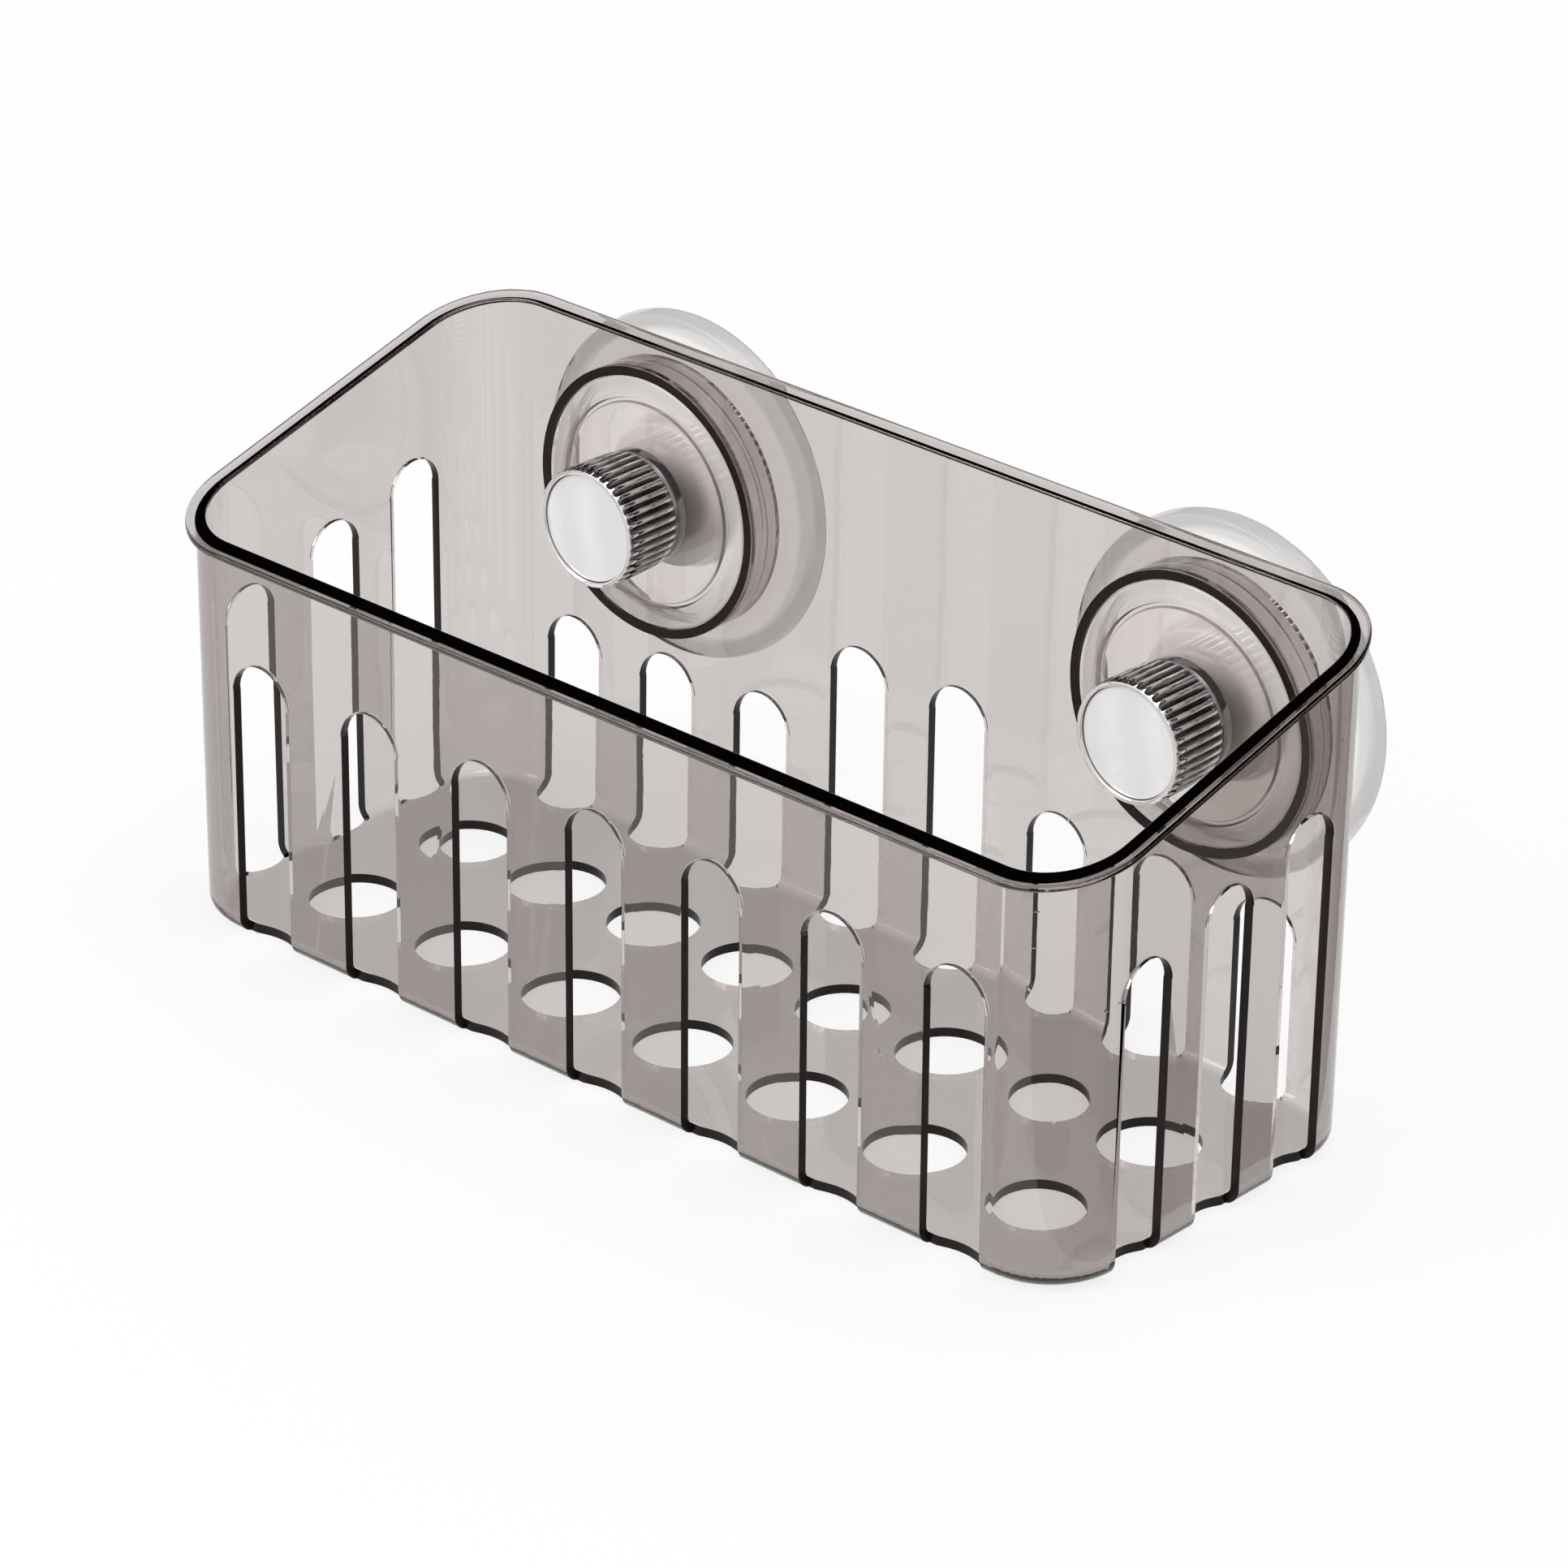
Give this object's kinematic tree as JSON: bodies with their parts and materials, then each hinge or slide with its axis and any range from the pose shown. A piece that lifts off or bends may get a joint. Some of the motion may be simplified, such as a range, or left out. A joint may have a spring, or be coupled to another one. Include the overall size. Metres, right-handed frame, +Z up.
{
  "type": "kitchen sink caddy",
  "caption": "Smoky see-through sink caddy basket with slotted walls, a drain-hole floor, a rim that slopes up to the back, and screw-down suction units with knurled knobs.",
  "frame": {"origin": "middle of the basket's underside, on the plane it stands on", "axes": "+X along the basket to the right seen from the open front, +Y back towards the wall it hangs on, +Z up"},
  "size_m": [0.24, 0.1066, 0.1111],
  "materials": {
    "smoked_plastic": "see-through smoke grey, polished",
    "clear_plastic": "clear, polished",
    "clear_soft_pvc": "clear soft vinyl",
    "plated_steel": "zinc plated",
    "chrome_plate": "bright plated, knurled grip",
    "satin_disc": "satin plated",
    "brass_nut": "machined",
    "white_plastic": "moulded"
  },
  "bodies": {
    "basket": {"basket": "smoked_plastic", "suction_housing_left": "clear_plastic", "slip_washer_left": "white_plastic", "suction_housing_right": "clear_plastic", "slip_washer_right": "white_plastic"},
    "knob_left": {"knob_left": "chrome_plate", "knob_cap_left": "satin_disc", "knob_nut_left": "brass_nut"},
    "stud_left": {"pull_stud_left": "plated_steel", "suction_pad_left": "clear_soft_pvc"},
    "knob_right": {"knob_right": "chrome_plate", "knob_cap_right": "satin_disc", "knob_nut_right": "brass_nut"},
    "stud_right": {"pull_stud_right": "plated_steel", "suction_pad_right": "clear_soft_pvc"}
  },
  "joints": [
    {"name": "knob_left_turn", "type": "hinge", "parent": "basket", "child": "knob_left", "pos_m": [-0.0704, 0.04338, 0.0742], "axis": [0, 1, 0], "range_deg": [0, 720]},
    {"name": "stud_left_pull", "type": "slide", "parent": "basket", "child": "stud_left", "axis": [0, -1, 0], "range_m": [0, 0.003], "deforming": ["suction_pad_left"]},
    {"name": "knob_right_turn", "type": "hinge", "parent": "basket", "child": "knob_right", "pos_m": [0.0704, 0.04338, 0.0742], "axis": [0, 1, 0], "range_deg": [0, 720]},
    {"name": "stud_right_pull", "type": "slide", "parent": "basket", "child": "stud_right", "axis": [0, -1, 0], "range_m": [0, 0.003], "deforming": ["suction_pad_right"]}
  ],
  "couplings": [
    {"joint": "knob_left_turn", "follows": "stud_left_pull", "rad_per_m": 4188.7},
    {"joint": "knob_right_turn", "follows": "stud_right_pull", "rad_per_m": 4188.7}
  ]
}
